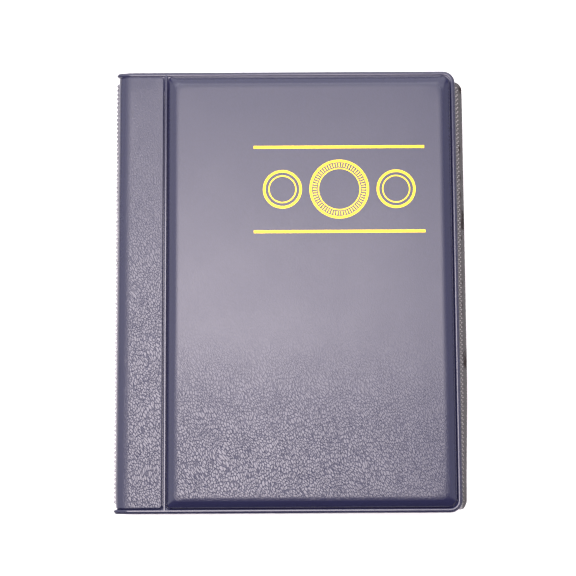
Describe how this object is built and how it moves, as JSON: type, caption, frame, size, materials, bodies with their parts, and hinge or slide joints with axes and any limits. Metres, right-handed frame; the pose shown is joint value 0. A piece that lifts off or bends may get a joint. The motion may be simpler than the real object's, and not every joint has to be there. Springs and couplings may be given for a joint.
{
  "type": "coin album",
  "caption": "Small soft-vinyl coin album with padded folding covers, a flat spine and clear pocket leaves that fan open.",
  "frame": {"origin": "middle of the underside of the closed album, on the surface it lies on", "axes": "+X from the spine to the fore edge, +Y to the head of the pages, +Z from the back cover to the front cover"},
  "size_m": [0.115, 0.145, 0.0201],
  "materials": {
    "cover_vinyl": "pebble-embossed soft PVC, dark navy, satin",
    "lining_vinyl": "plain soft PVC, dark navy",
    "greyboard": "plain greyboard",
    "card": "plain card",
    "foam_pad": "thin soft foam",
    "gold_foil": "hot-stamped gold foil",
    "clear_weld_strip": "clear PVC, knurled by the weld bar",
    "binding_vinyl": "clear PVC, welded",
    "clear_sheet": "clear soft PVC sheet",
    "clear_film": "clear soft PVC film, welded in pockets"
  },
  "bodies": {
    "back_cover": {"back_skin": "cover_vinyl", "back_pad": "foam_pad", "back_board": "greyboard", "back_lining": "lining_vinyl"},
    "back_strip": {"back_strip_skin": "cover_vinyl", "back_strip_card": "card", "back_strip_lining": "lining_vinyl"},
    "spine": {"spine_skin": "cover_vinyl", "spine_card": "card", "spine_lining": "lining_vinyl", "spine_weld_strip": "clear_weld_strip", "binding_strip": "binding_vinyl"},
    "front_strip": {"front_strip_skin": "cover_vinyl", "front_strip_card": "card", "front_strip_lining": "lining_vinyl"},
    "front_cover": {"front_skin": "cover_vinyl", "front_pad": "foam_pad", "front_board": "greyboard", "front_lining": "lining_vinyl", "cover_foil": "gold_foil"},
    "leaf_01": {"leaf_01_sheet": "clear_sheet", "leaf_01_pockets": "clear_film"},
    "leaf_02": {"leaf_02_sheet": "clear_sheet", "leaf_02_pockets": "clear_film"},
    "leaf_03": {"leaf_03_sheet": "clear_sheet", "leaf_03_pockets": "clear_film"},
    "leaf_04": {"leaf_04_sheet": "clear_sheet", "leaf_04_pockets": "clear_film"},
    "leaf_05": {"leaf_05_sheet": "clear_sheet", "leaf_05_pockets": "clear_film"},
    "leaf_06": {"leaf_06_sheet": "clear_sheet", "leaf_06_pockets": "clear_film"},
    "leaf_07": {"leaf_07_sheet": "clear_sheet", "leaf_07_pockets": "clear_film"},
    "leaf_08": {"leaf_08_sheet": "clear_sheet", "leaf_08_pockets": "clear_film"},
    "leaf_09": {"leaf_09_sheet": "clear_sheet", "leaf_09_pockets": "clear_film"},
    "leaf_10": {"leaf_10_sheet": "clear_sheet", "leaf_10_pockets": "clear_film"}
  },
  "joints": [
    {"name": "back_cover_hinge", "type": "hinge", "parent": "back_cover", "child": "back_strip", "pos_m": [-0.0407, 0, 0.002], "axis": [0, -1, 0], "range_deg": [0, 90]},
    {"name": "spine_fold", "type": "hinge", "parent": "back_strip", "child": "spine", "pos_m": [-0.0553, 0, 0.0032], "axis": [0, -1, 0], "range_deg": [0, 90]},
    {"name": "front_fold", "type": "hinge", "parent": "spine", "child": "front_strip", "pos_m": [-0.0553, 0, 0.0168], "axis": [0, -1, 0], "range_deg": [0, 90]},
    {"name": "front_cover_hinge", "type": "hinge", "parent": "front_strip", "child": "front_cover", "pos_m": [-0.0407, 0, 0.018], "axis": [0, -1, 0], "range_deg": [0, 90]},
    {"name": "leaf_01_turn", "type": "hinge", "parent": "spine", "child": "leaf_01", "pos_m": [-0.0535, 0, 0.01577], "axis": [0, -1, 0], "range_deg": [0, 75.01]},
    {"name": "leaf_02_turn", "type": "hinge", "parent": "spine", "child": "leaf_02", "pos_m": [-0.0535, 0, 0.01441], "axis": [0, -1, 0], "range_deg": [0, 60.01]},
    {"name": "leaf_03_turn", "type": "hinge", "parent": "spine", "child": "leaf_03", "pos_m": [-0.0535, 0, 0.01305], "axis": [0, -1, 0], "range_deg": [0, 45.01]},
    {"name": "leaf_04_turn", "type": "hinge", "parent": "spine", "child": "leaf_04", "pos_m": [-0.0535, 0, 0.01169], "axis": [0, -1, 0], "range_deg": [0, 30.01]},
    {"name": "leaf_05_turn", "type": "hinge", "parent": "spine", "child": "leaf_05", "pos_m": [-0.0535, 0, 0.01033], "axis": [0, -1, 0], "range_deg": [0, 15.01]},
    {"name": "leaf_06_turn", "type": "hinge", "parent": "spine", "child": "leaf_06", "pos_m": [-0.0535, 0, 0.00897], "axis": [0, -1, 0], "range_deg": [-15.01, 0]},
    {"name": "leaf_07_turn", "type": "hinge", "parent": "spine", "child": "leaf_07", "pos_m": [-0.0535, 0, 0.00761], "axis": [0, -1, 0], "range_deg": [-30.01, 0]},
    {"name": "leaf_08_turn", "type": "hinge", "parent": "spine", "child": "leaf_08", "pos_m": [-0.0535, 0, 0.00625], "axis": [0, -1, 0], "range_deg": [-45.01, 0]},
    {"name": "leaf_09_turn", "type": "hinge", "parent": "spine", "child": "leaf_09", "pos_m": [-0.0535, 0, 0.00489], "axis": [0, -1, 0], "range_deg": [-60.01, 0]},
    {"name": "leaf_10_turn", "type": "hinge", "parent": "spine", "child": "leaf_10", "pos_m": [-0.0535, 0, 0.00353], "axis": [0, -1, 0], "range_deg": [-75.01, 0]}
  ],
  "couplings": [
    {"joint": "leaf_01_turn", "follows": "front_fold", "ratio": 0.83333},
    {"joint": "leaf_02_turn", "follows": "front_fold", "ratio": 0.66667},
    {"joint": "leaf_03_turn", "follows": "front_fold", "ratio": 0.5},
    {"joint": "leaf_04_turn", "follows": "front_fold", "ratio": 0.33333},
    {"joint": "leaf_05_turn", "follows": "front_fold", "ratio": 0.16667},
    {"joint": "leaf_06_turn", "follows": "spine_fold", "ratio": -0.16667},
    {"joint": "leaf_07_turn", "follows": "spine_fold", "ratio": -0.33333},
    {"joint": "leaf_08_turn", "follows": "spine_fold", "ratio": -0.5},
    {"joint": "leaf_09_turn", "follows": "spine_fold", "ratio": -0.66667},
    {"joint": "leaf_10_turn", "follows": "spine_fold", "ratio": -0.83333}
  ]
}
